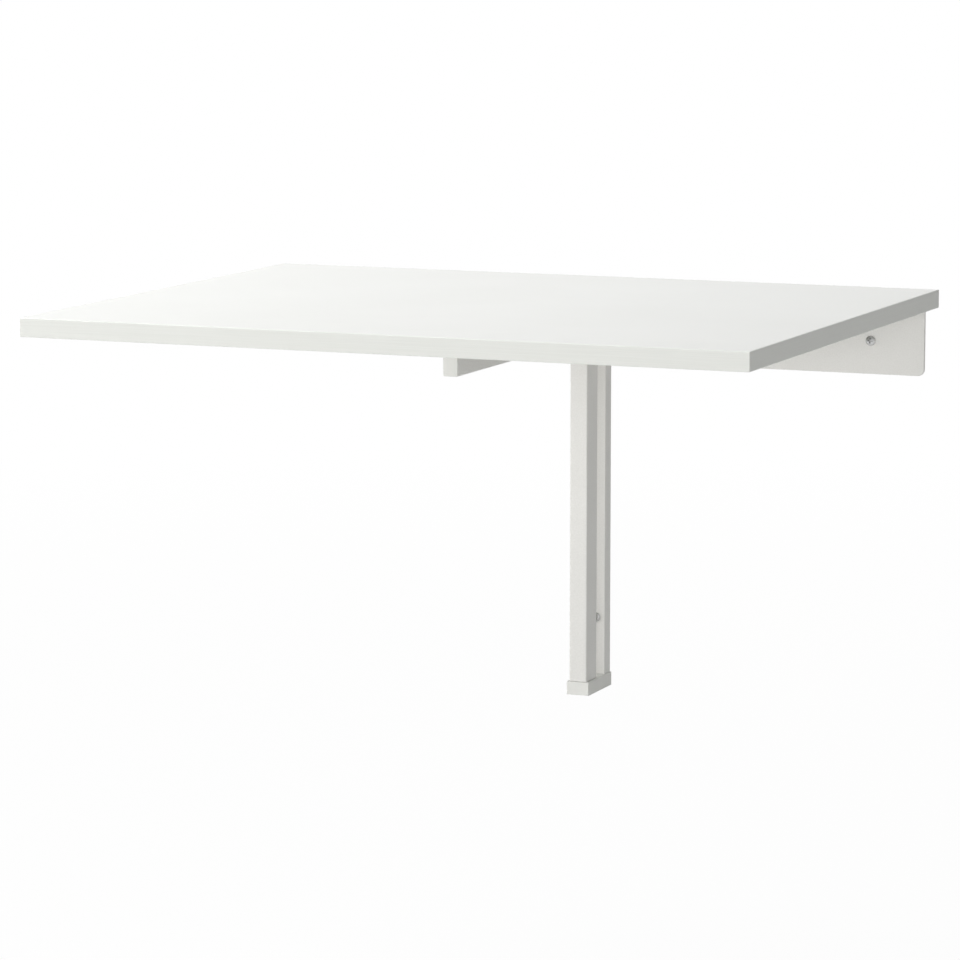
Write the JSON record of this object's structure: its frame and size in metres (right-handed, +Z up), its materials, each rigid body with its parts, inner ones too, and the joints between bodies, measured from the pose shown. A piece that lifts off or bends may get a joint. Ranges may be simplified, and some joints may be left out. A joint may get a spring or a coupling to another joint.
{
  "type": "wall mounted drop leaf table",
  "caption": "Wall mounted table with a one-piece leaf hinged to a wall rail and a swing-out gate, an upright and an arm on a wall column, that holds the leaf level.",
  "frame": {"origin": "on the wall plane, midway along the wall rail, at the height of the rail's wall screws", "axes": "+X along the wall, to the right as seen from the room; +Y into the wall; +Z up"},
  "size_m": [0.74, 0.622, 0.4387],
  "materials": {
    "white_steel": "white powder coat, satin",
    "white_plastic": "moulded, fine spark texture",
    "natural_nylon": "moulded, smooth",
    "zinc_steel": "bright zinc",
    "white_foil": "white facing, silk, faint orange peel",
    "white_edge_band": "white edge band, silk",
    "particle_board": "raw particle board, hidden"
  },
  "bodies": {
    "wall_frame": {"wall_rail": "white_steel", "column_profile": "white_steel", "column_cap": "white_plastic", "upper_bearing": "white_steel", "upper_bush": "natural_nylon", "rail_screws": "zinc_steel", "column_screws": "zinc_steel", "hinge_bracket_left": "white_steel", "hinge_bracket_right": "white_steel", "hinge_pin_left": "zinc_steel", "hinge_pin_right": "zinc_steel"},
    "gate": {"gate_tube": "white_steel", "gate_arm": "white_steel", "arm_end_cap": "white_plastic", "arm_pad": "natural_nylon", "tube_top_plug": "white_plastic", "tube_bottom_plug": "white_plastic", "upper_pivot_pin": "zinc_steel", "lower_pivot_pin": "zinc_steel"},
    "leaf": {"leaf_core": "particle_board", "leaf_top_foil": "white_foil", "leaf_bottom_foil": "white_foil", "edge_band_front": "white_edge_band", "edge_band_rear": "white_edge_band", "edge_band_left": "white_edge_band", "edge_band_right": "white_edge_band", "hinge_plate_left": "zinc_steel", "hinge_plate_right": "zinc_steel", "hinge_screws": "zinc_steel"}
  },
  "joints": [
    {"name": "gate_swing", "type": "hinge", "parent": "wall_frame", "child": "gate", "pos_m": [0, -0.053, 0], "axis": [0, 0, 1], "range_deg": [-90, 90]},
    {"name": "leaf_lift", "type": "hinge", "parent": "wall_frame", "child": "leaf", "pos_m": [0, -0.075, 0.0322], "axis": [-1, 0, 0], "range_deg": [0, 0.5]}
  ]
}
